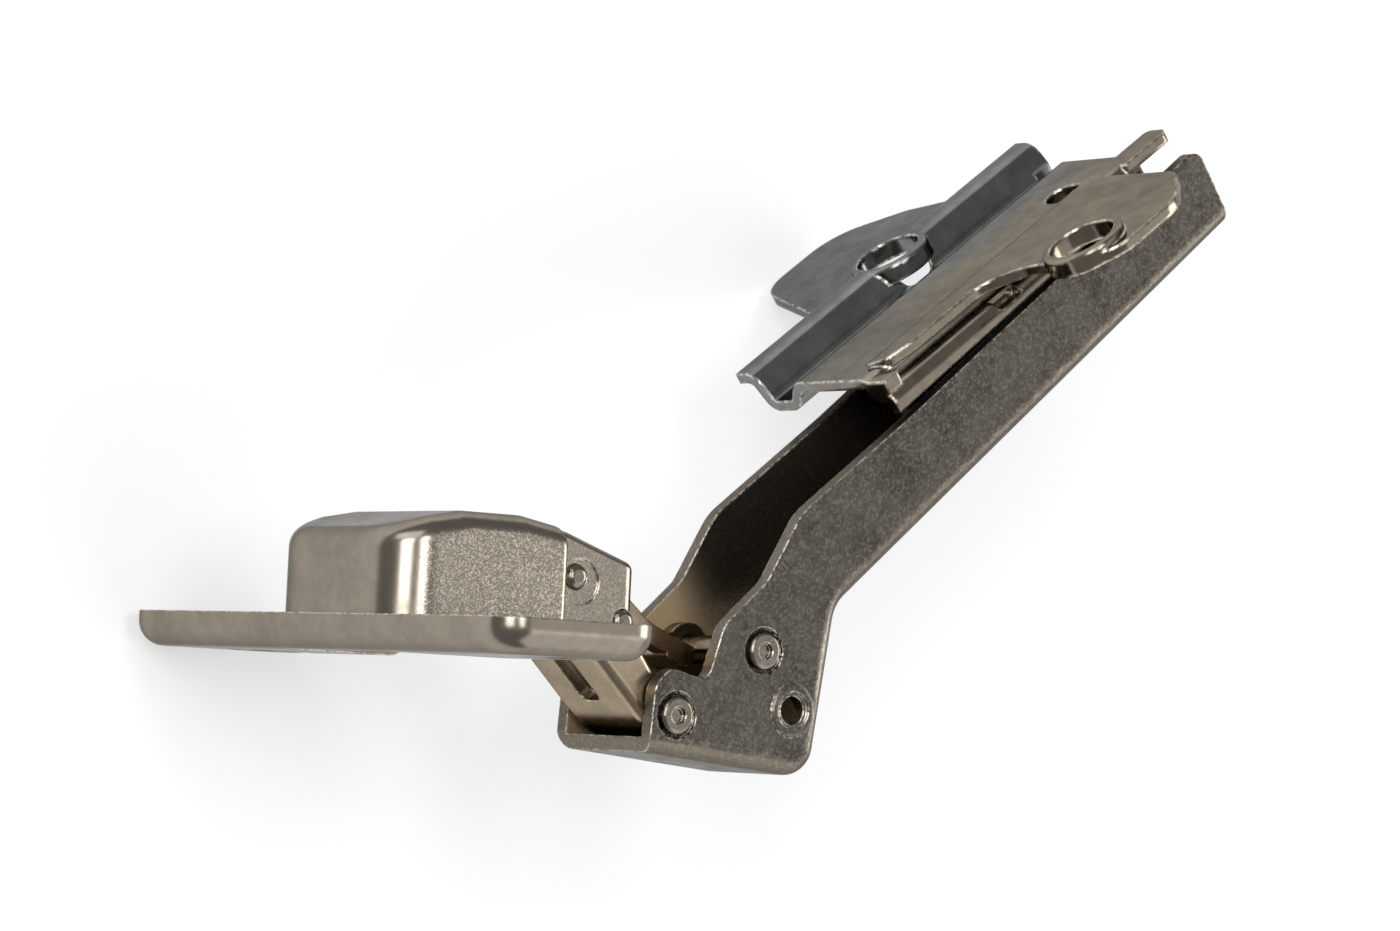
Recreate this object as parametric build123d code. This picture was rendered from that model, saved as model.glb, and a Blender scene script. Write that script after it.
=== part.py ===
from build123d import *
import math
import os

# Concealed cup hinge, half overlay, as photographed: door side swung open.
# Row frame, mm: X along the mounting plate towards its back end, Y towards the cabinet panel,
# Z along the pivots. The origin lies on the panel, midway between the two plate screw holes.

# Sheet and fits
ARM_SHEET = 1.5
LINK_SHEET = 1.4
PLATE_SHEET = 1.2
CUP_WALL = 1.4
RUNNING_FIT = 0.05
SIDE_PLAY = 0.3

# Pivots in the cup, from the cup's centre on the door face: along the flange, then into the door
DEEP_PIN_H = 7.75
DEEP_PIN_Z = 5.0
EDGE_PIN_H = 13.65
EDGE_PIN_Z = 0.85
CUP_PIN_R = 1.3

# Pivots in the arm, from the row's origin along the arm and square to it
FRONT_PIN_P = -67.04
FRONT_PIN_Q = -10.56
REAR_PIN_P = -54.42
REAR_PIN_Q = -12.27
FRONT_PIN_R = 1.3
REAR_PIN_R = 1.5
RIVET_HEAD_R = 1.9
RIVET_RING_R = 2.4
RIVET_SINK = 0.35
RIVET_DIMPLE_R = 0.85
SPARE_HOLE_P = -55.25
SPARE_HOLE_Q = -19.30
SPARE_HOLE_R = 1.45
SPARE_RIM_R = 2.7

# Pose in the photograph
ARM_TILT = 3.4
SIDE_TRAVEL = 1.0
FLANGE_TILT = 40.9
CUP_P = -77.8
CUP_Q = 9.5

# Links
SHANK_HALF = 1.2
SHANK_ROOM = 0.35
NOTCH_LENGTH = 7.9
FORK_WEB_DROP = 3.5

# Arm
ARM_WIDTH = 16.0
ARM_BEND_R = 2.0
HEEL_R = 3.2
CRANK_R = 4.0
ARM_WEB_Q = -14.85
ARM_END_P = 24.8
LIP_P = -71.6
LIP_RISE = 3.15
HEEL_P = -57.2
HEEL_DROP = 11.85
CRANK_P = -43.6
KNUCKLE_EDGE = [
    (-24.0, 9.95, 30.0),
    (-42.0, 10.7, 7.0),
    (-49.8, 7.9, 4.0),
    (-56.8, 7.75, 3.0),
    (-61.9, 4.6, 1.3),
    (-64.6, 8.5, 1.6),
    (-67.2, 8.4, 2.4),
    (-71.0, 4.6, 2.2),
]
FIXING_P = 12.0
FIXING_SLOT = 7.0
ADJUSTER_P = -18.0

# Cup
FLANGE_LENGTH = 66.8
FLANGE_BACK = 18.6
FLANGE_FRONT = 0.8
FLANGE_THICK = 3.5
FLANGE_CORNER_R = 4.0
FLANGE_EDGE_R = 2.6
MOUTH_HALF = 11.5
CUP_DEPTH = 10.6
CUP_BACK = 15.0
CUP_HALF = 13.2
CUP_CORNER_R = 6.0
CROWN_R = 2.4
NOSE_CROWN_R = 0.9
NOSE_START = 2.6
STEP_R = 1.0
NOSE_END = 15.2
NOSE_WIDTH = 17.0
CUP_SCREW_SPACING = 52.0
CUP_SCREW_OFFSET = 5.5
CUP_SCREW_R = 2.3

# Plate
PLATE_FRONT = -24.5
RIDGE_REAR = 20.3
RAIL_REAR = 23.0
TONGUE_REAR = 25.8
RIDGE_DROP = 1.4
RIDGE_HALF = 7.4
GROOVE_Z = 4.8
LEDGE_DROP = 3.0
LIP_Z = 5.6
TROUGH_DROP = 3.6
RAIL_Z = 15.6
NEAR_WING_HALF = 22.0
FAR_WING_HALF = 33.0
PLATE_HOLE_SPACING = 32.0
PLATE_HOLE_R = 3.7
COLLAR_R = 4.6
WING_DROP = 0.9
WALL_FRONT_DROP = 5.5
WALL_REAR_DROP = 4.2

# Screws
FIXING_R = 2.0
FIXING_HEAD_R = 3.2
FIXING_HEAD_H = 1.3
ADJUSTER_R = 2.2

INNER_HALF = ARM_WIDTH / 2 - ARM_SHEET
LINK_HALF = INNER_HALF - SIDE_PLAY
EAR_INSIDE = LINK_HALF - LINK_SHEET
NOSE_HALF = NOSE_WIDTH / 2

ARM_FRAME = Location((0, 0, 0), (0, 0, ARM_TILT))
TILT_SIN = math.sin(math.radians(ARM_TILT))
TILT_COS = math.cos(math.radians(ARM_TILT))
FIXING_X = FIXING_P * TILT_COS - (ARM_WEB_Q + ARM_SHEET / 2) * TILT_SIN
MOST_TILT = math.radians(ARM_TILT + SIDE_TRAVEL)
FIXING_HEAD_TOP = FIXING_P * TILT_SIN + ARM_WEB_Q * TILT_COS - FIXING_HEAD_R * math.sin(MOST_TILT) - 0.06
ADJUSTER_TIP_Y = -RIDGE_DROP - PLATE_SHEET - 0.1
ADJUSTER_TIP_Q = (ADJUSTER_TIP_Y - ADJUSTER_P * TILT_SIN) / TILT_COS - ADJUSTER_R * TILT_SIN
CUP_FRAME = ARM_FRAME * Location((CUP_P, CUP_Q, 0), (0, 0, -FLANGE_TILT))


def in_arm(h, z):
    """Cup point (h, z) in the arm's own p, q."""
    turn = math.radians(FLANGE_TILT)
    p = CUP_P + h * math.cos(turn) + z * math.sin(turn)
    q = CUP_Q - h * math.sin(turn) + z * math.cos(turn)
    return p, q


DEEP_P, DEEP_Q = in_arm(DEEP_PIN_H, DEEP_PIN_Z)
EDGE_P, EDGE_Q = in_arm(EDGE_PIN_H, EDGE_PIN_Z)
OUTER_SPAN = math.hypot(EDGE_P - FRONT_PIN_P, EDGE_Q - FRONT_PIN_Q)
OUTER_TURN = math.degrees(math.atan2(EDGE_Q - FRONT_PIN_Q, EDGE_P - FRONT_PIN_P))
INNER_SPAN = math.hypot(REAR_PIN_P - DEEP_P, REAR_PIN_Q - DEEP_Q)
INNER_TURN = math.degrees(math.atan2(REAR_PIN_Q - DEEP_Q, REAR_PIN_P - DEEP_P))
OUTER_FRAME = ARM_FRAME * Location((FRONT_PIN_P, FRONT_PIN_Q, 0), (0, 0, OUTER_TURN))
INNER_FRAME = ARM_FRAME * Location((DEEP_P, DEEP_Q, 0), (0, 0, INNER_TURN))


def outline(corners):
    """Closed face from corners (x, y, radius); each corner is rounded by its radius."""
    count = len(corners)
    spans = []
    for i in range(count):
        x, y, r = corners[i]
        ax, ay = corners[i - 1][:2]
        bx, by = corners[(i + 1) % count][:2]
        da = math.hypot(ax - x, ay - y)
        db = math.hypot(bx - x, by - y)
        ua = ((ax - x) / da, (ay - y) / da)
        ub = ((bx - x) / db, (by - y) / db)
        half = math.acos(max(-1.0, min(1.0, ua[0] * ub[0] + ua[1] * ub[1]))) / 2
        cut = r / math.tan(half) if r > 0 else 0.0
        start = (x + ua[0] * cut, y + ua[1] * cut)
        end = (x + ub[0] * cut, y + ub[1] * cut)
        middle = None
        if r > 0:
            bx2, by2 = ua[0] + ub[0], ua[1] + ub[1]
            size = math.hypot(bx2, by2)
            reach = r / math.sin(half) - r
            middle = (x + bx2 / size * reach, y + by2 / size * reach)
        spans.append((start, middle, end))
    edges = []
    for i in range(count):
        start, middle, end = spans[i]
        if middle is not None:
            edges.append(ThreePointArc(start, middle, end))
        following = spans[(i + 1) % count][0]
        if math.hypot(following[0] - end[0], following[1] - end[1]) > 1e-6:
            edges.append(Line(end, following))
    return make_face(Wire(edges))


def slab(corners, low, high):
    """The rounded outline, from height low to height high."""
    return Pos(0, 0, low) * extrude(outline(corners), high - low)


def drum(r, low, high, x=0.0, y=0.0):
    """Round bar along Z."""
    return Pos(x, y, low) * Cylinder(r, high - low, align=(Align.CENTER, Align.CENTER, Align.MIN))


def both_sides(shape):
    """The shape and its mirror image across the hinge's middle plane."""
    return shape + mirror(shape, Plane.XY)


def shifted(path, gap):
    """The open path moved sideways to its left by gap."""
    moved = []
    for i, (x, y) in enumerate(path):
        before = path[max(i - 1, 0)]
        here = path[min(i + 1, len(path) - 1)]
        one = (x - before[0], y - before[1]) if i > 0 else (here[0] - x, here[1] - y)
        two = (here[0] - x, here[1] - y) if i < len(path) - 1 else one
        n1 = (-one[1] / math.hypot(*one), one[0] / math.hypot(*one))
        n2 = (-two[1] / math.hypot(*two), two[0] / math.hypot(*two))
        share = 1 + n1[0] * n2[0] + n1[1] * n2[1]
        moved.append((x + gap * (n1[0] + n2[0]) / share, y + gap * (n1[1] + n2[1]) / share))
    return moved


def hinge_arm():
    """Cranked channel: knuckle with the pivots, then the long straight run."""
    lip = (LIP_P, ARM_WEB_Q + LIP_RISE)
    heel = (HEEL_P, ARM_WEB_Q - HEEL_DROP)
    crank = (CRANK_P, ARM_WEB_Q)
    end = (ARM_END_P, ARM_WEB_Q)
    wall = [
        (lip[0], lip[1], 0),
        (heel[0], heel[1], HEEL_R),
        (crank[0], crank[1], CRANK_R),
        (end[0], end[1], 0),
        (ARM_END_P + 0.8, ARM_WEB_Q + 9.25, 1.5),
    ]
    wall += [(p, ARM_WEB_Q + rise, r) for p, rise, r in KNUCKLE_EDGE]
    body = slab(wall, -ARM_WIDTH / 2, ARM_WIDTH / 2)
    web_path = [lip, heel, crank, end]
    bends = []
    for edge in body.edges():
        mid = edge.position_at(0.5)
        on_face = abs(abs(mid.Z) - ARM_WIDTH / 2) < 1e-4
        near_web = min(distance_to(mid.X, mid.Y, web_path[i], web_path[i + 1]) for i in range(3))
        if on_face and near_web < 1.4 and edge.length > 1.5 and lip[0] + 1.0 < mid.X < ARM_END_P - 1.0:
            bends.append(edge)
    body = fillet(bends, ARM_BEND_R)
    inside = shifted(web_path, ARM_SHEET)
    first = (inside[0][0] - 6.0, inside[0][1] + 6.25)
    last = (inside[-1][0] + 8.0, inside[-1][1])
    hollow = [
        (first[0], first[1], 0),
        (inside[1][0], inside[1][1], HEEL_R - ARM_SHEET),
        (inside[2][0], inside[2][1], CRANK_R + ARM_SHEET),
        (last[0], last[1], 0),
        (last[0], 8.0, 0),
        (first[0], 8.0, 0),
    ]
    body -= slab(hollow, -INNER_HALF, INNER_HALF)
    for p, q, r in ((FRONT_PIN_P, FRONT_PIN_Q, FRONT_PIN_R), (REAR_PIN_P, REAR_PIN_Q, REAR_PIN_R)):
        body -= drum(r, -ARM_WIDTH, ARM_WIDTH, p, q)
        body -= both_sides(drum(RIVET_RING_R, ARM_WIDTH / 2 - RIVET_SINK, ARM_WIDTH / 2 + 1, p, q))
    rim = drum(SPARE_RIM_R, ARM_WIDTH / 2 - 0.4, ARM_WIDTH / 2 + 0.3, SPARE_HOLE_P, SPARE_HOLE_Q)
    rim = fillet(rim.edges().group_by(Axis.Z)[-1], 0.25)
    body += both_sides(rim)
    body -= drum(SPARE_HOLE_R, -ARM_WIDTH, ARM_WIDTH, SPARE_HOLE_P, SPARE_HOLE_Q)
    body -= drum(SPARE_HOLE_R + 0.45, ARM_WIDTH / 2, ARM_WIDTH / 2 + 1, SPARE_HOLE_P, SPARE_HOLE_Q)
    slot_r = FIXING_R + 0.6
    slot = SlotCenterToCenter(FIXING_SLOT, 2 * slot_r)
    body -= Pos(FIXING_P, ARM_WEB_Q, 0) * Rot(90, 0, 0) * extrude(slot, 6, both=True)
    body -= Pos(ADJUSTER_P, ARM_WEB_Q, 0) * Rot(90, 0, 0) * Cylinder(ADJUSTER_R + RUNNING_FIT, 12)
    return ARM_FRAME * body


def distance_to(x, y, a, b):
    """Distance of a point from the straight piece a to b."""
    dx, dy = b[0] - a[0], b[1] - a[1]
    along = max(0.0, min(1.0, ((x - a[0]) * dx + (y - a[1]) * dy) / (dx * dx + dy * dy)))
    return math.hypot(x - a[0] - along * dx, y - a[1] - along * dy)


def cup_body_outline(inset):
    """Plan of the cup (h across, Z along the pivots), inset for the inside."""
    return [
        (-CUP_BACK + inset, -CUP_HALF + inset, CUP_CORNER_R - inset),
        (NOSE_START - inset, -CUP_HALF + inset, 0),
        (NOSE_START - inset, CUP_HALF - inset, 0),
        (-CUP_BACK + inset, CUP_HALF - inset, CUP_CORNER_R - inset),
    ]


def standing(corners, low, high):
    """Plan outline (h, Z) raised along the cup's own axis from low to high."""
    return Rot(-90, 0, 0) * slab([(x, -y, r) for x, y, r in corners], low, high)


def roof_cut(drop):
    """Everything past the cup's sloped bottom, lowered by drop."""
    top = CUP_DEPTH - drop
    corners = [
        (-CUP_BACK - 3.0, top - 3.4, 0),
        (-7.4, top, 4.0),
        (0.0, top, 6.0),
        (6.6, top - 1.2, 5.0),
        (NOSE_END + 3.0, top - 5.1, 0),
        (NOSE_END + 3.0, 30.0, 0),
        (-CUP_BACK - 3.0, 30.0, 0),
    ]
    return slab(corners, -40.0, 40.0)


def crowned(block, half, r):
    """The block with its bottom sloped off, and the rim round that bottom rounded by r."""
    block -= roof_cut(0.0)
    rim = []
    for edge in block.edges():
        mid = edge.position_at(0.5)
        on_side = min(abs(abs(mid.Z) - half), abs(mid.X + CUP_BACK)) < 0.01
        in_corner = mid.X < -CUP_BACK + CUP_CORNER_R and abs(mid.Z) > half - CUP_CORNER_R
        level_run = abs(edge.tangent_at(0.5).Y) < 0.9
        if (on_side or in_corner) and level_run and mid.Y > CUP_DEPTH - 5.6:
            rim.append(edge)
    return fillet(rim, r)


def hinge_cup():
    """Die-cast cup: flange, boxed body inside the door bore, and the nose that holds the pins."""
    flange = [
        (-FLANGE_BACK, -FLANGE_LENGTH / 2, FLANGE_CORNER_R),
        (FLANGE_FRONT, -FLANGE_LENGTH / 2, FLANGE_CORNER_R),
        (FLANGE_FRONT, FLANGE_LENGTH / 2, FLANGE_CORNER_R),
        (-FLANGE_BACK, FLANGE_LENGTH / 2, FLANGE_CORNER_R),
    ]
    plate = standing(flange, -FLANGE_THICK, 0.0)
    rounded = plate.edges().group_by(Axis.Y)[0]
    plate = fillet(rounded, FLANGE_EDGE_R)
    body = crowned(standing(cup_body_outline(0.0), -FLANGE_THICK / 2, CUP_DEPTH), CUP_HALF, CROWN_R)
    step = [e for e in body.edges() if abs(e.position_at(0.5).X - NOSE_START) < 1e-3 and e.position_at(0.5).Y > 0]
    body = fillet(step, STEP_R)
    nose = [
        (-6.0, -NOSE_HALF, 0),
        (NOSE_END, -NOSE_HALF, 1.6),
        (NOSE_END, NOSE_HALF, 1.6),
        (-6.0, NOSE_HALF, 0),
    ]
    snout = crowned(standing(nose, 0.0, CUP_DEPTH), NOSE_HALF, NOSE_CROWN_R)
    cup = plate + body + snout
    cavity = standing(cup_body_outline(CUP_WALL), -FLANGE_THICK - 1, CUP_DEPTH)
    throat = [
        (-4.0, -NOSE_HALF + CUP_WALL, 0),
        (NOSE_END - CUP_WALL, -NOSE_HALF + CUP_WALL, 0),
        (NOSE_END - CUP_WALL, NOSE_HALF - CUP_WALL, 0),
        (-4.0, NOSE_HALF - CUP_WALL, 0),
    ]
    cavity += standing(throat, -1.0, CUP_DEPTH)
    cavity -= roof_cut(CUP_WALL - 0.3)
    cup -= cavity
    mouth = [
        (NOSE_START - 4.0, -FLANGE_THICK - 1, 0),
        (NOSE_END + 2.0, -FLANGE_THICK - 1, 0),
        (NOSE_END + 2.0, EDGE_PIN_Z + 3.4, 0),
        (NOSE_START - 4.0, EDGE_PIN_Z + 3.4, 0),
    ]
    cup -= slab(mouth, -NOSE_HALF + CUP_WALL, NOSE_HALF - CUP_WALL)
    way_out = [
        (NOSE_START + 4.5, EDGE_PIN_Z, 0),
        (NOSE_END + 2.0, EDGE_PIN_Z, 0),
        (NOSE_END + 2.0, CUP_DEPTH, 0),
        (NOSE_START + 4.5, CUP_DEPTH - 3.0, 0),
    ]
    cup -= slab(way_out, -SHANK_HALF - SHANK_ROOM, SHANK_HALF + SHANK_ROOM)
    rim_notch = [
        (-CUP_BACK + CUP_WALL, -FLANGE_THICK - 1, 0),
        (NOSE_END, -FLANGE_THICK - 1, 0),
        (NOSE_END, -0.6, 0),
        (-CUP_BACK + CUP_WALL, -0.6, 0),
    ]
    cup -= slab(rim_notch, -MOUTH_HALF, MOUTH_HALF)
    for side in (-1, 1):
        z = side * CUP_SCREW_SPACING / 2
        sink = Cone(CUP_SCREW_R + 2.6, CUP_SCREW_R, 2.6, align=(Align.CENTER, Align.CENTER, Align.MIN))
        screw = Cylinder(CUP_SCREW_R, 20) + Pos(0, 0, -FLANGE_THICK - 0.5) * sink
        cup -= Pos(-CUP_SCREW_OFFSET, 0, z) * Rot(-90, 0, 0) * screw
    ring = drum(2.3, NOSE_HALF - 0.25, NOSE_HALF + 1, DEEP_PIN_H + 0.4, DEEP_PIN_Z - 0.5)
    cup -= both_sides(ring)
    cup -= drum(CUP_PIN_R, -30, 30, DEEP_PIN_H, DEEP_PIN_Z)
    cup -= drum(CUP_PIN_R, -30, 30, EDGE_PIN_H, EDGE_PIN_Z)
    return CUP_FRAME * cup


def domed(bar, r):
    """Bar along Z with its outer rims rounded off."""
    return fillet(bar.edges().group_by(Axis.Z)[-1], r)


def deep_cup_pin():
    """Long pin through the nose; the inner link turns on it."""
    half = drum(CUP_PIN_R, 0, NOSE_HALF + 0.35)
    return CUP_FRAME * Pos(DEEP_PIN_H, DEEP_PIN_Z, 0) * both_sides(domed(half, 0.8))


def edge_rivet(side):
    """Short rivet in one nose wall, at the outer link's cup end."""
    bar = domed(drum(CUP_PIN_R, NOSE_HALF - CUP_WALL, NOSE_HALF + 0.35), 0.8)
    if side < 0:
        bar = mirror(bar, Plane.XY)
    return CUP_FRAME * Pos(EDGE_PIN_H, EDGE_PIN_Z, 0) * bar


def rivet_end(shank_r, inner):
    """Shank from height inner to the arm's face, with a dished ring head."""
    face = ARM_WIDTH / 2 - RIVET_SINK
    head = domed(drum(RIVET_HEAD_R, face, face + 0.75), 0.35)
    head -= drum(RIVET_DIMPLE_R, face + 0.25, face + 2)
    return head + drum(shank_r, inner, face)


def front_rivet(side):
    """Rivet through one arm wall; an ear of the outer link turns on it."""
    rivet = rivet_end(FRONT_PIN_R, EAR_INSIDE)
    if side < 0:
        rivet = mirror(rivet, Plane.XY)
    return ARM_FRAME * Pos(FRONT_PIN_P, FRONT_PIN_Q, 0) * rivet


def rear_arm_pin():
    """Long pin between the arm walls; the inner link's fork turns on it."""
    return ARM_FRAME * Pos(REAR_PIN_P, REAR_PIN_Q, 0) * both_sides(rivet_end(REAR_PIN_R, 0.0))


def outer_link():
    """Stamped bracket: wide front plate and two ears, notched where the inner link swings through."""
    near_y, far_y = 2.45, 3.9
    slope = (far_y - near_y) / (OUTER_SPAN + 2.3)
    ear = [
        (-2.2, -1.5, 1.4),
        (OUTER_SPAN + 2.3, -2.2, 2.2),
        (OUTER_SPAN + 2.3, 2.3, 0.8),
        (OUTER_SPAN + 0.3, near_y + (OUTER_SPAN + 0.3) * slope, 0.6),
        (0.0, near_y, 2.0),
        (-2.2, 1.3, 1.1),
    ]
    body = slab(ear, -LINK_HALF, LINK_HALF)
    inside = [
        (-6.0, near_y - 6.0 * slope - LINK_SHEET, 0),
        (-6.0, -6.0, 0),
        (OUTER_SPAN + 6.0, -6.0, 0),
        (OUTER_SPAN + 6.0, near_y + (OUTER_SPAN + 6.0) * slope - LINK_SHEET, 0),
    ]
    body -= slab(inside, -EAR_INSIDE, EAR_INSIDE)
    bends = []
    for edge in body.edges():
        mid = edge.position_at(0.5)
        on_plate = abs(mid.Y - near_y - mid.X * slope) < 0.05
        if on_plate and abs(abs(mid.Z) - LINK_HALF) < 1e-4 and edge.length > 4:
            bends.append(edge)
    body = fillet(bends, 1.1)
    notch_half = SHANK_HALF + SHANK_ROOM
    notch = [
        (OUTER_SPAN - NOTCH_LENGTH, -notch_half, 0.9),
        (OUTER_SPAN + 8.0, -notch_half, 0),
        (OUTER_SPAN + 8.0, notch_half, 0),
        (OUTER_SPAN - NOTCH_LENGTH, notch_half, 0.9),
    ]
    body -= Pos(0, 8, 0) * Rot(90, 0, 0) * slab(notch, 0, 12)
    body -= drum(FRONT_PIN_R + RUNNING_FIT, -20, 20)
    body -= drum(CUP_PIN_R + RUNNING_FIT, -20, 20, OUTER_SPAN, 0)
    return OUTER_FRAME * body


def inner_link():
    """Slim curved lever from the deep cup pin, cranked to one cheek of the fork on the rear arm pin."""
    eye_r = CUP_PIN_R + 1.2
    fork_r = REAR_PIN_R + 1.3
    shank = [
        (-1.2, -eye_r + 0.5, 1.5),
        (2.4, -0.2, 3.0),
        (5.6, 1.2, 4.0),
        (9.0, 0.7, 4.0),
        (14.0, -1.9, 4.0),
        (INNER_SPAN - 4.6, -2.7, 0),
        (INNER_SPAN - 4.6, -0.9, 0),
        (15.0, 0.0, 4.0),
        (10.0, 2.3, 4.0),
        (5.8, 2.9, 4.0),
        (2.4, 2.1, 3.0),
        (-1.4, 1.9, 1.5),
    ]
    body = slab(shank, -SHANK_HALF, SHANK_HALF)
    body += drum(eye_r, -SHANK_HALF, SHANK_HALF)
    bridge = [
        (INNER_SPAN - 6.8, -2.8, 0.5),
        (INNER_SPAN - 3.4, -3.0, 0.5),
        (INNER_SPAN - 3.4, -0.8, 0.5),
        (INNER_SPAN - 6.8, -0.5, 0.5),
    ]
    body += slab(bridge, -LINK_HALF, SHANK_HALF)
    web = [
        (INNER_SPAN - 0.8, -FORK_WEB_DROP - 0.8, 0.5),
        (INNER_SPAN + 2.4, -FORK_WEB_DROP - 0.8, 0.5),
        (INNER_SPAN + 2.4, -FORK_WEB_DROP + 0.6, 0.5),
        (INNER_SPAN - 0.8, -FORK_WEB_DROP + 0.6, 0.5),
    ]
    body += slab(web, -LINK_HALF, LINK_HALF)
    ear = [
        (INNER_SPAN - 2.5, -1.1, 0),
        (INNER_SPAN - 0.4, -FORK_WEB_DROP - 0.5, 0.4),
        (INNER_SPAN + 2.1, -FORK_WEB_DROP - 0.5, 0.4),
        (INNER_SPAN + 2.5, -1.1, 0),
    ]
    cheek = slab(ear, EAR_INSIDE, LINK_HALF) + drum(fork_r, EAR_INSIDE, LINK_HALF, INNER_SPAN, 0)
    body += both_sides(cheek)
    strap = [
        (INNER_SPAN - 6.0, -2.6, 0),
        (INNER_SPAN, -fork_r + 0.1, 0),
        (INNER_SPAN, fork_r - 0.1, 0),
        (INNER_SPAN - 6.0, -0.8, 0),
    ]
    body += slab(strap, -LINK_HALF, -EAR_INSIDE)
    body -= drum(CUP_PIN_R + RUNNING_FIT, -20, 20)
    body -= drum(REAR_PIN_R + RUNNING_FIT, -20, 20, INNER_SPAN, 0)
    return INNER_FRAME * body


def sheet_strip(path, thick):
    """Closed outline of a bent strip of sheet: path of (Z, Y, inner bend radius), thick on its right."""
    points = [(z, y) for z, y, _ in path]
    low = shifted(points, -thick)
    top, under = [], []
    for i, (z, y, r) in enumerate(path):
        up_r, low_r = 0.0, 0.0
        if 0 < i < len(path) - 1:
            before, after = points[i - 1], points[i + 1]
            left = (z - before[0]) * (after[1] - y) - (y - before[1]) * (after[0] - z) > 0
            up_r, low_r = (r, r + thick) if left else (r + thick, r)
        top.append((z, y, up_r))
        under.append((low[i][0], low[i][1], low_r))
    return top + under[::-1]


def along_x(corners, low, high):
    """Cross-section (Z, Y) run along X from low to high."""
    return Pos(low, 0, 0) * Rot(0, 90, 0) * slab([(-z, y, r) for z, y, r in corners], 0, high - low)


def level(corners, low, high):
    """Plan outline (X, Z) with its faces square to Y, from low to high."""
    return Rot(-90, 0, 0) * slab([(x, -z, r) for x, z, r in corners], low, high)


def post(r, low, high, x=0.0, z=0.0):
    """Round bar along Y."""
    return Pos(x, 0, z) * Rot(-90, 0, 0) * drum(r, low, high)


def mounting_plate():
    """Stamped plate: ridge over the arm, trough and rail on one side, ledge on the other, two wings."""
    path = [
        (-RAIL_Z - 1.2, 0.0, 0),
        (-RAIL_Z + 1.7, 0.0, 1.0),
        (-RAIL_Z + 2.9, -TROUGH_DROP, 0.7),
        (-RIDGE_HALF - 2.2, -TROUGH_DROP, 0.7),
        (-RIDGE_HALF - 0.4, -RIDGE_DROP, 0.7),
        (GROOVE_Z, -RIDGE_DROP, 0.3),
        (GROOVE_Z, -LEDGE_DROP, 0.2),
        (RIDGE_HALF, -LEDGE_DROP, 0.5),
        (RIDGE_HALF, -WALL_FRONT_DROP - 3.0, 0),
    ]
    body = along_x(sheet_strip(path, PLATE_SHEET), PLATE_FRONT, RAIL_REAR)
    under_wall = [
        (PLATE_FRONT - 1.0, -WALL_FRONT_DROP, 0),
        (RIDGE_REAR, -WALL_REAR_DROP, 0),
        (RAIL_REAR + 1.0, -WALL_REAR_DROP, 0),
        (RAIL_REAR + 1.0, -30.0, 0),
        (PLATE_FRONT - 1.0, -30.0, 0),
    ]
    body -= slab(under_wall, GROOVE_Z, RIDGE_HALF + 3.0)
    past_ridge = [
        (RIDGE_REAR, -RAIL_Z + 2.6, 0),
        (RAIL_REAR + 1.0, -RAIL_Z + 2.6, 0),
        (RAIL_REAR + 1.0, RIDGE_HALF + 3.0, 0),
        (RIDGE_REAR - 4.5, RIDGE_HALF + 3.0, 0),
        (RIDGE_REAR - 4.5, GROOVE_Z, 0),
        (RIDGE_REAR, GROOVE_Z, 0),
    ]
    body -= level(past_ridge, -20, 5)
    tongue = [
        (RIDGE_REAR - 2.0, 1.6, 0),
        (TONGUE_REAR, 1.6, 0.8),
        (TONGUE_REAR, 5.0, 1.2),
        (RIDGE_REAR - 2.0, 5.0, 0),
    ]
    body += level(tongue, -RIDGE_DROP - PLATE_SHEET, -RIDGE_DROP)
    front_land = [
        (PLATE_FRONT, GROOVE_Z - 1.0, 0),
        (PLATE_FRONT + 2.3, GROOVE_Z - 1.0, 0),
        (PLATE_FRONT + 2.3, RIDGE_HALF - 0.3, 0.3),
        (PLATE_FRONT, RIDGE_HALF - 0.3, 0),
    ]
    body += level(front_land, -LEDGE_DROP - 0.3, -RIDGE_DROP - 0.3)
    near_wing = [
        (PLATE_FRONT + 2.2, 2.4, 0),
        (PLATE_FRONT + 3.2, LIP_Z - 1.0, 1.2),
        (PLATE_FRONT + 7.0, LIP_Z, 4.0),
        (-6.5, LIP_Z, 4.0),
        (-3.4, LIP_Z + 4.5, 4.0),
        (-2.6, NEAR_WING_HALF, 5.0),
        (9.0, NEAR_WING_HALF, 6.0),
        (15.0, 16.5, 3.5),
        (15.2, 2.4, 0),
    ]
    far_wing = [
        (-12.5, -RAIL_Z + 0.8, 0),
        (-9.6, -22.0, 4.0),
        (-5.4, -FAR_WING_HALF, 5.0),
        (6.4, -FAR_WING_HALF, 6.5),
        (11.0, -24.5, 6.0),
        (13.5, -RAIL_Z + 0.8, 0),
    ]
    for wing in (near_wing, far_wing):
        body += level(wing, -WING_DROP - PLATE_SHEET, -WING_DROP)
    for z in (-PLATE_HOLE_SPACING / 2, PLATE_HOLE_SPACING / 2):
        collar = post(COLLAR_R, -WING_DROP - PLATE_SHEET, 0.0, 0.0, z)
        collar = fillet(collar.edges().group_by(Axis.Y)[-1], 0.4)
        body += collar
        body -= post(PLATE_HOLE_R, -20, 5, 0.0, z)
    body += post(FIXING_R + 1.2, -RIDGE_DROP - PLATE_SHEET - 1.6, -RIDGE_DROP, FIXING_X)
    body -= post(FIXING_R + RUNNING_FIT, -20, 5, FIXING_X)
    window = [
        (-7.0, -LEDGE_DROP - 1.1, 0.45),
        (-3.4, -LEDGE_DROP - 1.1, 0.45),
        (-3.4, -LEDGE_DROP + 0.2, 0),
        (-7.0, -LEDGE_DROP + 0.2, 0),
    ]
    body -= slab(window, RIDGE_HALF - 1.6, RIDGE_HALF + 3.0)
    return body


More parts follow.
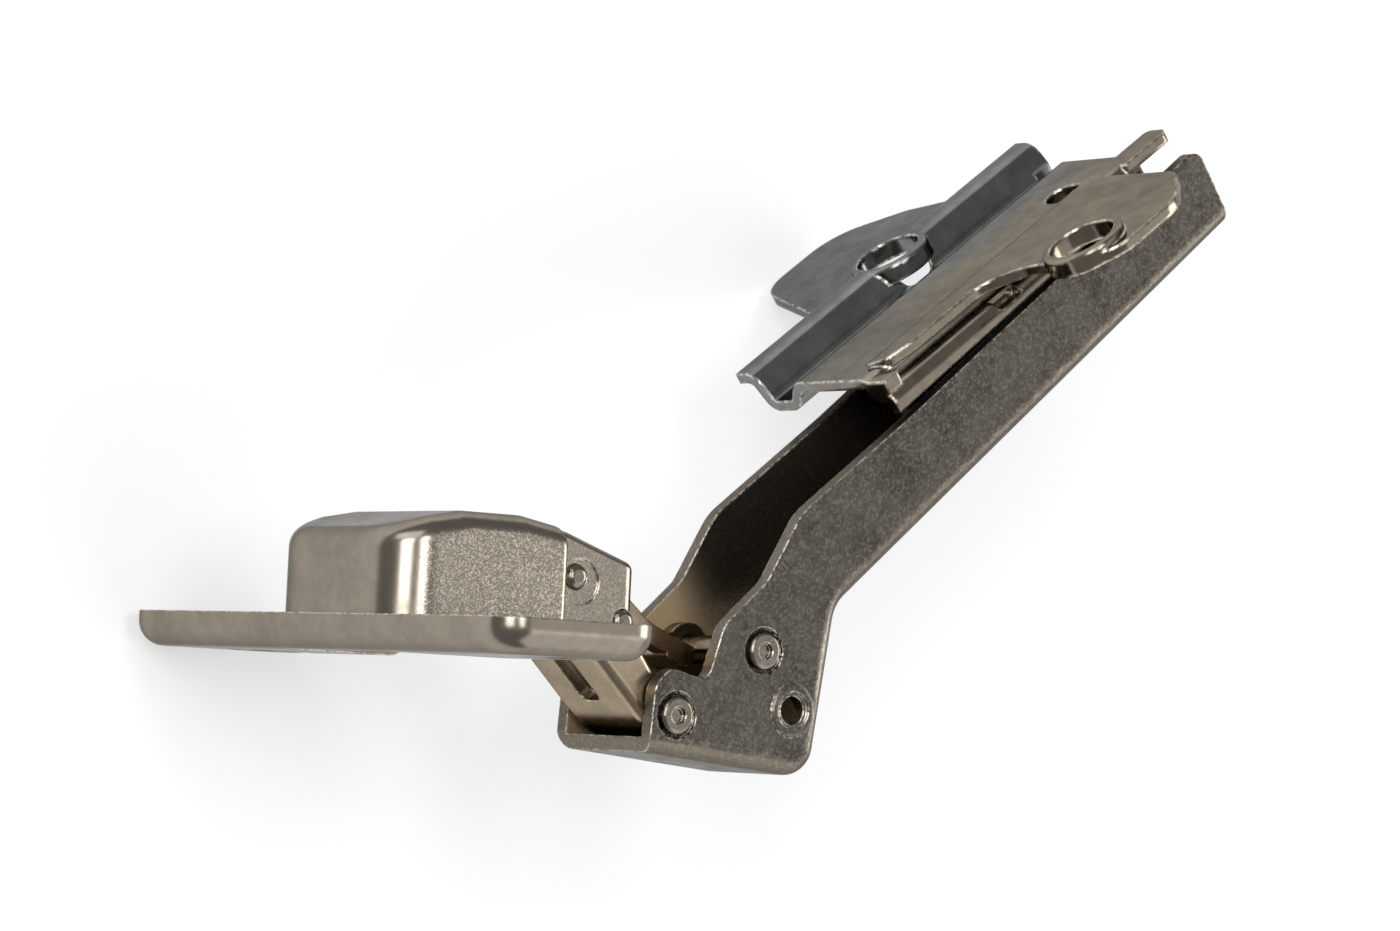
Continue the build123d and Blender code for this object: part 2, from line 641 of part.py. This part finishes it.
def fixing_screw():
    """Screw that clamps the arm on the plate; cross recess in its head."""
    underside = FIXING_HEAD_TOP
    head = post(FIXING_HEAD_R, underside - FIXING_HEAD_H, underside)
    head = fillet(head.edges().group_by(Axis.Y)[0], 0.5)
    screw = head + post(FIXING_R, underside, -RIDGE_DROP - 1.4)
    screw = chamfer(screw.edges().group_by(Axis.Y)[-1], 0.4)
    for turn in (0, 90):
        screw -= Rot(0, turn, 0) * Pos(0, underside - FIXING_HEAD_H, 0) * Box(3.6, 1.8, 0.8)
    return Pos(FIXING_X, 0, 0) * screw


def adjusting_screw():
    """Side-adjusting screw: threaded through the arm, its tip pressing on the plate's ridge."""
    outside = ARM_WEB_Q - 0.5
    screw = post(ADJUSTER_R, outside, ADJUSTER_TIP_Q)
    screw = chamfer(screw.edges().group_by(Axis.Y)[-1], 0.5)
    for turn in (0, 90):
        screw -= Rot(0, turn, 0) * Pos(0, outside, 0) * Box(3.2, 3.0, 0.8)
    return ARM_FRAME * Pos(ADJUSTER_P, 0, 0) * screw


os.makedirs("parts", exist_ok=True)
NODES = {
    "hinge_cup": hinge_cup(),
    "deep_cup_pin": deep_cup_pin(),
    "edge_rivet_near": edge_rivet(1),
    "edge_rivet_far": edge_rivet(-1),
    "outer_link": outer_link(),
    "inner_link": inner_link(),
    "front_rivet_near": front_rivet(1),
    "front_rivet_far": front_rivet(-1),
    "rear_arm_pin": rear_arm_pin(),
    "hinge_arm": hinge_arm(),
    "mounting_plate": mounting_plate(),
    "fixing_screw": fixing_screw(),
    "adjusting_screw": adjusting_screw(),
}
for name, shape in NODES.items():
    export_step(shape, "parts/" + name + ".step")
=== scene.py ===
import bpy
from mathutils import Matrix, Vector


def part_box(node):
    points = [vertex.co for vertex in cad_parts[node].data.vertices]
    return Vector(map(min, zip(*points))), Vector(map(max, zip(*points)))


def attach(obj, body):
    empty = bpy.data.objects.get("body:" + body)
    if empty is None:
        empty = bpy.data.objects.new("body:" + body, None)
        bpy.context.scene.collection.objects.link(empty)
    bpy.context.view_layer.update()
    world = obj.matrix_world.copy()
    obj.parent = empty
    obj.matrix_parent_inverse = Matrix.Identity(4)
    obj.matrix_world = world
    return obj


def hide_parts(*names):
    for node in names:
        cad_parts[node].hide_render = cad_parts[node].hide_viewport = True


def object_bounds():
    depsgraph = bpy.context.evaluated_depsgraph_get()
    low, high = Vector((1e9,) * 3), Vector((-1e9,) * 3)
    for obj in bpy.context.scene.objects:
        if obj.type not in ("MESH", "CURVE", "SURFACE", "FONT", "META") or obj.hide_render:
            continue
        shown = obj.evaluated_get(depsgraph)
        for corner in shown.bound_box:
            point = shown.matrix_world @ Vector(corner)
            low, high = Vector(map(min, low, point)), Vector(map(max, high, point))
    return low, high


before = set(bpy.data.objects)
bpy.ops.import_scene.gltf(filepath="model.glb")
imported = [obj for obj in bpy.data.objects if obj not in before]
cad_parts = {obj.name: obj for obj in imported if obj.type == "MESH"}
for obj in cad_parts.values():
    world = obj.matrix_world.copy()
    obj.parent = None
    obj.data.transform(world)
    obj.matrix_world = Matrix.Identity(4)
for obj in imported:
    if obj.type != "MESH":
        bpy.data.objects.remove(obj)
cad_low, cad_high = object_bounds()

MM = 0.001

# Cup: its axis out of the door, its length across the flange, and the deep pin's place in it
CUP_AXIS = Vector((0.609, 0.793, 0.0))
CUP_ALONG = Vector((0.793, -0.609, 0.0))
DEEP_PIN_RISE = 5.0 * MM
DEEP_PIN_ALONG = 7.75 * MM
NOSE_HALF = 8.5 * MM

# Cup casting: how far its walls stand from the solid's, and the roof's fall towards the nose
WALL_SHIFT = 2.0 * MM
BACK_SHIFT = 1.2 * MM
STEP_SHIFT = 2.4 * MM
ROOF_FALL = 0.176

# Arm: half its channel's inside width, and the recess round a rivet
CHANNEL_HALF = 7.0 * MM
RIVET_RECESS_R = 2.4 * MM

# Photograph: its width and the fitted focal length in pixels
PHOTO_WIDTH = 1400.0
PHOTO_FOCAL = 5356.0
SENSOR_WIDTH = 36.0

# Room
FLOOR_SIZE = 8.0
FLOOR_GAP = 0.4 * MM
FLOOR_GLOW = 0.45
LAMP_AIM = Vector((-0.045, 0.0, 0.0))

NODE_SLOT = {
    "hinge_cup": "cup_nickel",
    "deep_cup_pin": "pin_steel",
    "edge_rivet_near": "pin_steel",
    "edge_rivet_far": "pin_steel",
    "outer_link": "link_nickel",
    "inner_link": "link_nickel",
    "front_rivet_near": "pin_steel",
    "front_rivet_far": "pin_steel",
    "rear_arm_pin": "pin_steel",
    "hinge_arm": "arm_nickel",
    "mounting_plate": "plate_nickel",
    "fixing_screw": "screw_steel",
    "adjusting_screw": "screw_steel",
}


def middle_of(node_name):
    """Middle of a piece's box at rest."""
    low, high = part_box(node_name)
    return (Vector(low) + Vector(high)) / 2


# Node helpers

def feed(tree, socket, value):
    """Links an output to a socket, or sets the socket to a plain value."""
    if isinstance(value, bpy.types.NodeSocket):
        tree.links.new(value, socket)
    elif isinstance(value, tuple) and len(value) == 3 and socket.type == "RGBA":
        socket.default_value = (*value, 1.0)
    else:
        socket.default_value = value


def maths(tree, operation, first, second=0.0):
    node = tree.nodes.new("ShaderNodeMath")
    node.operation = operation
    feed(tree, node.inputs[0], first)
    feed(tree, node.inputs[1], second)
    return node.outputs[0]


def dot(tree, first, second):
    node = tree.nodes.new("ShaderNodeVectorMath")
    node.operation = "DOT_PRODUCT"
    feed(tree, node.inputs[0], first)
    feed(tree, node.inputs[1], second)
    return node.outputs["Value"]


def ramp(tree, value, low, high):
    """0 at low, 1 at high, smooth between."""
    node = tree.nodes.new("ShaderNodeMapRange")
    node.interpolation_type = "SMOOTHSTEP"
    feed(tree, node.inputs["Value"], value)
    feed(tree, node.inputs["From Min"], low)
    feed(tree, node.inputs["From Max"], high)
    return node.outputs["Result"]


def between(tree, share, start, end):
    """Number that goes from start to end as the share goes from 0 to 1."""
    node = tree.nodes.new("ShaderNodeMapRange")
    feed(tree, node.inputs["Value"], share)
    feed(tree, node.inputs["To Min"], start)
    feed(tree, node.inputs["To Max"], end)
    return node.outputs["Result"]


def tones(tree, share, under, over):
    """Colour that goes from under to over as the share goes from 0 to 1."""
    node = tree.nodes.new("ShaderNodeMix")
    node.data_type = "RGBA"
    feed(tree, node.inputs["Factor"], share)
    feed(tree, node.inputs["A"], under)
    feed(tree, node.inputs["B"], over)
    return node.outputs["Result"]


def noise(tree, place, scale, detail, roughness=0.5):
    node = tree.nodes.new("ShaderNodeTexNoise")
    node.inputs["Detail"].default_value = detail
    node.inputs["Roughness"].default_value = roughness
    feed(tree, node.inputs["Vector"], place)
    feed(tree, node.inputs["Scale"], scale)
    return node.outputs["Fac"]


# Shader groups shared by the finishes

def new_group(name, inputs, outputs):
    """Empty shader group with named sockets."""
    group = bpy.data.node_groups.new(name, "ShaderNodeTree")
    for label, kind in inputs:
        group.interface.new_socket(label, in_out="INPUT", socket_type=kind)
    for label, kind in outputs:
        group.interface.new_socket(label, in_out="OUTPUT", socket_type=kind)
    start = group.nodes.new("NodeGroupInput")
    end = group.nodes.new("NodeGroupOutput")
    return group, start.outputs, end.inputs


def place_group(tree, group, **values):
    node = tree.nodes.new("ShaderNodeGroup")
    node.node_tree = group
    for label, value in values.items():
        feed(tree, node.inputs[label], value)
    return node.outputs


def smoke_mottle():
    """Cloudy plating: broad clouds with finer blotches over them, 0 to 1."""
    group, given, result = new_group(
        "smoke_mottle",
        [
            ("Vector", "NodeSocketVector"),
            ("Scale", "NodeSocketFloat"),
            ("Contrast", "NodeSocketFloat"),
        ],
        [("Mask", "NodeSocketFloat")],
    )
    broad = noise(group, given["Vector"], given["Scale"], 5.0, 0.6)
    fine = noise(group, given["Vector"], maths(group, "MULTIPLY", given["Scale"], 5.3), 3.0)
    both = between(group, 0.38, broad, fine)
    low = maths(group, "SUBTRACT", 0.5, given["Contrast"])
    high = maths(group, "ADD", 0.5, given["Contrast"])
    group.links.new(ramp(group, both, low, high), result["Mask"])
    return group


def metal_grain():
    """Grain of the metal: a height for the bump, and specks that differ from grain to grain."""
    group, given, result = new_group(
        "metal_grain",
        [("Vector", "NodeSocketVector"), ("Scale", "NodeSocketFloat")],
        [("Height", "NodeSocketFloat"), ("Specks", "NodeSocketFloat")],
    )
    height = noise(group, given["Vector"], maths(group, "MULTIPLY", given["Scale"], 1.6), 2.0, 0.7)
    cells = group.nodes.new("ShaderNodeTexVoronoi")
    cells.feature = "F1"
    feed(group, cells.inputs["Vector"], given["Vector"])
    feed(group, cells.inputs["Scale"], given["Scale"])
    shade = group.nodes.new("ShaderNodeSeparateColor")
    feed(group, shade.inputs["Color"], cells.outputs["Color"])
    group.links.new(height, result["Height"])
    group.links.new(ramp(group, shade.outputs["Red"], 0.45, 1.0), result["Specks"])
    return group


def rubbed_edges():
    """Rounded edge normal, and a mask of the edges where the plating is rubbed bright."""
    group, given, result = new_group(
        "rubbed_edges",
        [
            ("Vector", "NodeSocketVector"),
            ("Radius", "NodeSocketFloat"),
            ("Breakup", "NodeSocketFloat"),
        ],
        [("Mask", "NodeSocketFloat"), ("Normal", "NodeSocketVector")],
    )
    bevel = group.nodes.new("ShaderNodeBevel")
    bevel.samples = 6
    feed(group, bevel.inputs["Radius"], given["Radius"])
    surface = group.nodes.new("ShaderNodeNewGeometry")
    agree = dot(group, bevel.outputs["Normal"], surface.outputs["True Normal"])
    bend = ramp(group, agree, 0.985, 0.88)
    broken = ramp(group, noise(group, given["Vector"], given["Breakup"], 3.0), 0.38, 0.60)
    group.links.new(maths(group, "MULTIPLY", bend, broken), result["Mask"])
    group.links.new(bevel.outputs["Normal"], result["Normal"])
    return group


def flat_sides():
    """Mask of the flat side walls, which face along the pivots."""
    group, given, result = new_group(
        "flat_sides",
        [("Normal", "NodeSocketVector")],
        [("Mask", "NodeSocketFloat")],
    )
    lean = maths(group, "ABSOLUTE", dot(group, given["Normal"], (0.0, 0.0, 1.0)))
    group.links.new(ramp(group, lean, 0.90, 0.985), result["Mask"])
    return group


MOTTLE = smoke_mottle()
GRAIN = metal_grain()
EDGES = rubbed_edges()
SIDES = flat_sides()


# Tone layers of single finishes

def side_height(tree, place):
    """Distance of a point from the hinge's middle plane."""
    return maths(tree, "ABSOLUTE", dot(tree, place.outputs["Object"], (0.0, 0.0, 1.0)))


def grainy_walls_with_nose_shade(tree, place):
    """The cup's side walls above the flange, where the casting is grainy; the nose gets fewer light
    specks, which paints shade on it.
    """
    sides = place_group(tree, SIDES, Normal=place.outputs["Normal"])["Mask"]
    rise = dot(tree, place.outputs["Object"], tuple(CUP_AXIS))
    flange_top = middle_of("deep_cup_pin").dot(CUP_AXIS) - DEEP_PIN_RISE
    above = ramp(tree, rise, flange_top - 0.1 * MM, flange_top + 0.1 * MM)
    height = side_height(tree, place)
    # Painted shade: fewer light specks on the set-back nose wall make it darker.
    body = ramp(tree, height, NOSE_HALF + 0.3 * MM, NOSE_HALF + 2.3 * MM)
    share = between(tree, body, 0.45, 1.0)
    return maths(tree, "MULTIPLY", maths(tree, "MULTIPLY", sides, above), share)


def channel_painted_reflection(tree, place):
    """The arm's walls inside its channel, dulled and painted with a warm brown reflection that
    grows towards the knuckle.
    """
    sides = place_group(tree, SIDES, Normal=place.outputs["Normal"])["Mask"]
    height = side_height(tree, place)
    inside = ramp(tree, height, CHANNEL_HALF + 0.3 * MM, CHANNEL_HALF - 0.3 * MM)
    knuckle = middle_of("rear_arm_pin").x
    along = dot(tree, place.outputs["Object"], (1.0, 0.0, 0.0))
    towards = ramp(tree, along, knuckle + 9.0 * MM, knuckle + 1.0 * MM)
    # Painted reflection: the warm brown is strongest next to the knuckle.
    share = between(tree, towards, 0.10, 1.0)
    return maths(tree, "MULTIPLY", maths(tree, "MULTIPLY", sides, inside), share)


def bend_polish_and_painted_light(tree, place, tone):
    """The arm's web, bends and cut edges are smoother and warmer than its walls; their lighter tone
    is also painted light, set by which way a face looks.
    """
    sides = place_group(tree, SIDES, Normal=place.outputs["Normal"])["Mask"]
    # Painted light: faces that don't look along the pivots take a lighter tone, besides a smoother
    # finish.
    return tones(tree, sides, (0.175, 0.154, 0.124), tone)


def rivet_recess_dirt_and_shade(tree, place, tone):
    """Dirt and painted shade in the recesses round the rivets in the arm."""
    for node_name in ("front_rivet_near", "rear_arm_pin"):
        centre = middle_of(node_name)
        apart = tree.nodes.new("ShaderNodeVectorMath")
        apart.operation = "SUBTRACT"
        feed(tree, apart.inputs[0], place.outputs["Object"])
        feed(tree, apart.inputs[1], tuple(centre))
        across = tree.nodes.new("ShaderNodeVectorMath")
        across.operation = "MULTIPLY"
        feed(tree, across.inputs[0], apart.outputs["Vector"])
        feed(tree, across.inputs[1], (1.0, 1.0, 0.0))
        reach = tree.nodes.new("ShaderNodeVectorMath")
        reach.operation = "LENGTH"
        feed(tree, reach.inputs[0], across.outputs["Vector"])
        rim, floor = RIVET_RECESS_R + 0.25 * MM, RIVET_RECESS_R - 0.1 * MM
        dark = ramp(tree, reach.outputs["Value"], rim, floor)
        # Painted shade: each rivet's recess is darkened to near black, along with its dirt.
        tone = tones(tree, dark, tone, (0.016, 0.014, 0.012))
    return tone


def plate_painted_reflection_tint(tree, place, tone):
    """Painted reflections on the plate: a cool tint on the far wing goes over to a warm one on the
    near wing.
    """
    stretch = tree.nodes.new("ShaderNodeMapping")
    feed(tree, stretch.inputs["Vector"], place.outputs["Object"])
    stretch.inputs["Scale"].default_value = (0.22, 1.0, 1.0)
    wander = noise(tree, stretch.outputs["Vector"], 130.0, 3.0)
    depth = dot(tree, place.outputs["Object"], (0.0, 0.0, 1.0))
    shifted = maths(tree, "ADD", depth, maths(tree, "MULTIPLY", wander, 36.0 * MM))
    warm = ramp(tree, shifted, 4.0 * MM, 26.0 * MM)
    # Painted reflection: cool and warm tints stand in for reflected window light and room light.
    tint = tones(tree, warm, (0.90, 1.00, 1.08), (1.12, 1.02, 0.86))
    node = tree.nodes.new("ShaderNodeMix")
    node.data_type = "RGBA"
    node.blend_type = "MULTIPLY"
    node.inputs["Factor"].default_value = 1.0
    feed(tree, node.inputs["A"], tone)
    feed(tree, node.inputs["B"], tint)
    return node.outputs["Result"]


def plated_metal(name, look, layers=(), grain_where=None, dull_reflection_where=None):
    """Plated metal: clouds between two tones, piece's own layers, grain, rubbed edges.

    look: dark, light and rubbed tones; rough (smooth, dull); clouds (scale, contrast);
    grain (scale, speck share, bump height in mm); edge (radius in mm, breakup scale).
    grain_where keeps the grain to a part of the piece, and the dulling mask dulls a part and paints
    a warm reflection tone on it.
    """
    material = bpy.data.materials.new(name)
    material.use_nodes = True
    tree = material.node_tree
    tree.nodes.clear()
    place = tree.nodes.new("ShaderNodeTexCoord")
    spot = place.outputs["Object"]
    cloud_scale, cloud_contrast = look["clouds"]
    grain_scale, speck_share, bump_height = look["grain"]
    edge_radius, edge_breakup = look["edge"]
    smooth, dull = look["rough"]

    clouds = place_group(tree, MOTTLE, Vector=spot, Scale=cloud_scale, Contrast=cloud_contrast)
    mottle = clouds["Mask"]
    tone = tones(tree, mottle, look["dark"], look["light"])
    for layer in layers:
        tone = layer(tree, place, tone)

    grain = place_group(tree, GRAIN, Vector=spot, Scale=grain_scale)
    specks, height = grain["Specks"], grain["Height"]
    if grain_where:
        where = grain_where(tree, place)
        specks = maths(tree, "MULTIPLY", specks, where)
        height = maths(tree, "MULTIPLY", height, between(tree, where, 0.15, 1.0))
    tone = tones(tree, maths(tree, "MULTIPLY", specks, speck_share), tone, look["rubbed"])

    edges = place_group(tree, EDGES, Vector=spot, Radius=edge_radius * MM, Breakup=edge_breakup)
    tone = tones(tree, edges["Mask"], tone, look["rubbed"])

    bump = tree.nodes.new("ShaderNodeBump")
    bump.inputs["Strength"].default_value = 1.0
    bump.inputs["Distance"].default_value = bump_height * MM
    feed(tree, bump.inputs["Height"], height)
    feed(tree, bump.inputs["Normal"], edges["Normal"])

    shader = tree.nodes.new("ShaderNodeBsdfPrincipled")
    shader.inputs["Metallic"].default_value = 1.0
    shader.inputs["Specular Tint"].default_value = (0.45, 0.45, 0.45, 1.0)
    roughness = between(tree, mottle, dull, smooth)
    # Painted reflection: the dulled part takes a warm tone that stands in for reflected light.
    if dull_reflection_where:
        mask = dull_reflection_where(tree, place)
        tone = tones(tree, mask, tone, look["dull_reflection_tone"])
        feed(tree, shader.inputs["Metallic"], between(tree, mask, 1.0, 0.35))
    feed(tree, shader.inputs["Base Color"], tone)
    feed(tree, shader.inputs["Roughness"], roughness)
    feed(tree, shader.inputs["Normal"], bump.outputs["Normal"])
    out = tree.nodes.new("ShaderNodeOutputMaterial")
    tree.links.new(shader.outputs["BSDF"], out.inputs["Surface"])
    return material


CUP_LOOK = {
    "dark": (0.235, 0.205, 0.165),
    "light": (0.32, 0.28, 0.228),
    "rubbed": (0.86, 0.76, 0.62),
    "rough": (0.18, 0.27),
    "clouds": (160.0, 0.25),
    "grain": (7800.0, 0.62, 0.0045),
    "edge": (0.3, 1800.0),
}
ARM_LOOK = {
    "dark": (0.047, 0.042, 0.035),
    "light": (0.110, 0.098, 0.082),
    "rubbed": (0.82, 0.75, 0.65),
    "rough": (0.24, 0.38),
    "clouds": (190.0, 0.16),
    "grain": (4200.0, 0.08, 0.006),
    "edge": (0.35, 2200.0),
    "dull_reflection_tone": (0.48, 0.355, 0.215),
}
LINK_LOOK = {
    "dark": (0.29, 0.235, 0.165),
    "light": (0.40, 0.325, 0.23),
    "rubbed": (0.74, 0.64, 0.49),
    "rough": (0.18, 0.30),
    "clouds": (300.0, 0.25),
    "grain": (4200.0, 0.06, 0.004),
    "edge": (0.35, 1800.0),
}
PLATE_LOOK = {
    "dark": (0.17, 0.160, 0.147),
    "light": (0.29, 0.272, 0.248),
    "rubbed": (0.78, 0.71, 0.60),
    "rough": (0.10, 0.18),
    "clouds": (110.0, 0.22),
    "grain": (3000.0, 0.03, 0.002),
    "edge": (0.55, 1500.0),
}
PIN_LOOK = {
    "dark": (0.15, 0.13, 0.105),
    "light": (0.27, 0.24, 0.195),
    "rubbed": (0.88, 0.80, 0.68),
    "rough": (0.10, 0.18),
    "clouds": (700.0, 0.25),
    "grain": (4000.0, 0.06, 0.004),
    "edge": (0.28, 1500.0),
}
SCREW_LOOK = {
    "dark": (0.32, 0.29, 0.25),
    "light": (0.46, 0.42, 0.37),
    "rubbed": (0.80, 0.74, 0.65),
    "rough": (0.14, 0.24),
    "clouds": (500.0, 0.25),
    "grain": (4000.0, 0.06, 0.004),
    "edge": (0.25, 1500.0),
}
FINISH = {
    "cup_nickel": plated_metal("satin_cup_nickel", CUP_LOOK, grain_where=grainy_walls_with_nose_shade),
    "arm_nickel": plated_metal(
        "smoky_arm_nickel", ARM_LOOK, [bend_polish_and_painted_light, rivet_recess_dirt_and_shade], dull_reflection_where=channel_painted_reflection
    ),
    "link_nickel": plated_metal("yellowish_link_nickel", LINK_LOOK),
    "plate_nickel": plated_metal("bright_plate_nickel", PLATE_LOOK, [plate_painted_reflection_tint]),
    "pin_steel": plated_metal("bright_rivet_nickel", PIN_LOOK),
    "screw_steel": plated_metal("bright_screw_nickel", SCREW_LOOK),
}


def dress(node_name):
    """Gives a CAD piece its finish."""
    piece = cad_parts[node_name]
    piece.data.materials.clear()
    piece.data.materials.append(FINISH[NODE_SLOT[node_name]])


for node_name in NODE_SLOT:
    dress(node_name)


# Cup casting: places of the solid's walls, in millimetres from the middle of the flange's top

BACK_END = -15.1
BACK_CORNERS = -8.9
STEP_START = 1.55
STEP_END = 2.65
HOLLOW_SIDE = 7.15
CROWN_SIDE = 7.5
NOSE_SIDE = 8.6
BODY_SIDE = 13.3
STEP_TOP = 7.0
WELD_GAP = 0.0005 * MM
SMOOTH_ANGLE = 0.5


def pick(piece, test):
    """Selects the vertices whose place in the cup (along, across, up) passes a test."""
    pin = middle_of("deep_cup_pin")
    middle = pin - CUP_AXIS * DEEP_PIN_RISE - CUP_ALONG * DEEP_PIN_ALONG
    bpy.ops.mesh.select_all(action="DESELECT")
    bpy.ops.object.mode_set(mode="OBJECT")
    for vertex in piece.data.vertices:
        apart = vertex.co - middle
        vertex.select = test(apart.dot(CUP_ALONG) / MM, apart.z / MM, apart.dot(CUP_AXIS) / MM)
    bpy.ops.object.mode_set(mode="EDIT")


def on_wall(side):
    """Test for the cup's side wall, outside and in its hollow, without the nose."""
    def test(along, across, up):
        height = across * side
        nose = along > STEP_START and height < NOSE_SIDE
        return BACK_END < along < STEP_END and HOLLOW_SIDE < height < BODY_SIDE and not nose
    return test


def on_step(along, across, up):
    """Test for the step where the cup's body ends and the narrower nose goes on."""
    return STEP_START < along < STEP_END and CROWN_SIDE < abs(across) < BODY_SIDE


def on_step_crown(along, across, up):
    """Test for the top of that step, which follows the falling roof."""
    return on_step(along, across, up) and up > STEP_TOP


def on_back(along, across, up):
    """Test for the cup's back wall and its two upright corners."""
    return BACK_END < along < BACK_CORNERS and abs(across) < BODY_SIDE


def cup_casting():
    """The cup with its side walls drawn in, and its step and back wall set out, as photographed."""
    bpy.ops.object.select_all(action="DESELECT")
    piece = bpy.data.objects.new("cup_casting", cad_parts["hinge_cup"].data.copy())
    bpy.context.scene.collection.objects.link(piece)
    bpy.context.view_layer.objects.active = piece
    piece.select_set(True)
    bpy.ops.object.mode_set(mode="EDIT")
    bpy.ops.mesh.select_mode(type="VERT")
    bpy.ops.mesh.select_all(action="SELECT")
    bpy.ops.mesh.remove_doubles(threshold=WELD_GAP)
    for side in (1, -1):
        pick(piece, on_wall(side))
        bpy.ops.transform.translate(value=(0.0, 0.0, -side * WALL_SHIFT))
    pick(piece, on_step_crown)
    bpy.ops.transform.translate(value=CUP_AXIS * -STEP_SHIFT * ROOF_FALL)
    pick(piece, on_step)
    bpy.ops.transform.translate(value=CUP_ALONG * STEP_SHIFT)
    pick(piece, on_back)
    bpy.ops.transform.translate(value=CUP_ALONG * -BACK_SHIFT)
    bpy.ops.object.mode_set(mode="OBJECT")
    bpy.ops.mesh.customdata_custom_splitnormals_clear()
    bpy.ops.object.shade_smooth_by_angle(angle=SMOOTH_ANGLE)
    bpy.ops.object.modifier_add(type="WEIGHTED_NORMAL")
    piece.modifiers[-1].keep_sharp = True
    bpy.ops.object.modifier_apply(modifier=piece.modifiers[-1].name)
    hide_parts("hinge_cup")
    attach(piece, "cup")


cup_casting()


# Floor, lamps, camera

def floor_paint():
    """White paper: keeps the hinge's soft shadow, and is white in the picture and in the metal."""
    material = bpy.data.materials.new("white_paper_floor")
    material.use_nodes = True
    tree = material.node_tree
    tree.nodes.clear()
    path = tree.nodes.new("ShaderNodeLightPath").outputs
    seen = maths(tree, "MAXIMUM", path["Is Camera Ray"], path["Is Glossy Ray"])
    seen = maths(tree, "MAXIMUM", seen, path["Is Transmission Ray"])
    paper = tree.nodes.new("ShaderNodeBsdfDiffuse")
    paper.inputs["Color"].default_value = (0.95, 0.95, 0.95, 1.0)
    white = tree.nodes.new("ShaderNodeEmission")
    white.inputs["Color"].default_value = (1.0, 1.0, 1.0, 1.0)
    white.inputs["Strength"].default_value = 1.0
    mixed = tree.nodes.new("ShaderNodeMixShader")
    feed(tree, mixed.inputs["Fac"], maths(tree, "MULTIPLY", seen, FLOOR_GLOW))
    tree.links.new(paper.outputs["BSDF"], mixed.inputs[1])
    tree.links.new(white.outputs["Emission"], mixed.inputs[2])
    out = tree.nodes.new("ShaderNodeOutputMaterial")
    tree.links.new(mixed.outputs["Shader"], out.inputs["Surface"])
    return material


def lay_floor():
    """Floor just below the lowest point of the hinge."""
    bpy.ops.object.select_all(action="DESELECT")
    level = cad_low.z - FLOOR_GAP
    bpy.ops.mesh.primitive_plane_add(size=FLOOR_SIZE, location=(0.0, 0.0, level))
    floor = bpy.context.object
    floor.name = "paper_floor"
    floor.data.materials.append(floor_paint())


def softbox(name, direction, distance, size, power, colour=(1.0, 1.0, 1.0)):
    """Soft lamp in a direction from the hinge, facing it, its height along the cup's axis."""
    lamp = bpy.data.lights.new(name, "AREA")
    lamp.shape = "RECTANGLE"
    lamp.size, lamp.size_y = size
    lamp.energy = power
    lamp.color = colour
    holder = bpy.data.objects.new(name, lamp)
    bpy.context.scene.collection.objects.link(holder)
    aim = Vector(direction).normalized()
    across = CUP_AXIS.cross(aim).normalized()
    turn = Matrix((across, aim.cross(across), aim)).transposed()
    holder.matrix_world = Matrix.Translation(LAMP_AIM + aim * distance) @ turn.to_4x4()


def light_room():
    """Grey room with six soft lamps: direction, distance, size, power."""
    world = bpy.data.worlds.new("grey_room")
    bpy.context.scene.world = world
    world.use_nodes = True
    room = world.node_tree.nodes["Background"]
    room.inputs["Color"].default_value = (0.28, 0.28, 0.285, 1.0)
    room.inputs["Strength"].default_value = 1.0
    softbox("key_softbox", (0.10, -0.86, 0.50), 1.3, (1.5, 1.4), 6.6)
    softbox("overhead_softbox", (0.51, -0.32, 0.80), 1.2, (1.0, 1.0), 1.9)
    softbox("camera_softbox", (-0.390, 0.550, 0.766), 1.2, (0.40, 0.60), 5.6)
    softbox("top_softbox", (0.011, 0.244, 0.990), 1.2, (0.26, 0.60), 3.9)
    softbox("side_softbox", (0.80, -0.50, 0.33), 1.2, (0.6, 0.6), 6.0)
    softbox("edge_softbox", (0.0, 0.82, 0.52), 1.2, (0.9, 0.5), 3.0, (0.82, 0.91, 1.0))


def set_camera():
    """Camera at the place fitted to the photograph."""
    camera = bpy.data.cameras.new("photo_camera")
    camera.sensor_fit = "HORIZONTAL"
    camera.sensor_width = SENSOR_WIDTH
    camera.lens = SENSOR_WIDTH * PHOTO_FOCAL / PHOTO_WIDTH
    camera.clip_start = 0.01
    camera.clip_end = 20.0
    holder = bpy.data.objects.new("photo_camera", camera)
    bpy.context.scene.collection.objects.link(holder)
    right = Vector((0.66025704, -0.44558703, 0.60457658))
    up = Vector((0.55079408, 0.83453121, 0.01354769))
    back = Vector((-0.5105747, 0.32405224, 0.79643181))
    turn = Matrix((right, up, back)).transposed()
    stand = Vector((-325.022, 179.283, 437.241)) * MM
    holder.matrix_world = Matrix.Translation(stand) @ turn.to_4x4()
    bpy.context.scene.camera = holder


lay_floor()
light_room()
set_camera()
bpy.context.scene.view_settings.view_transform = "Standard"
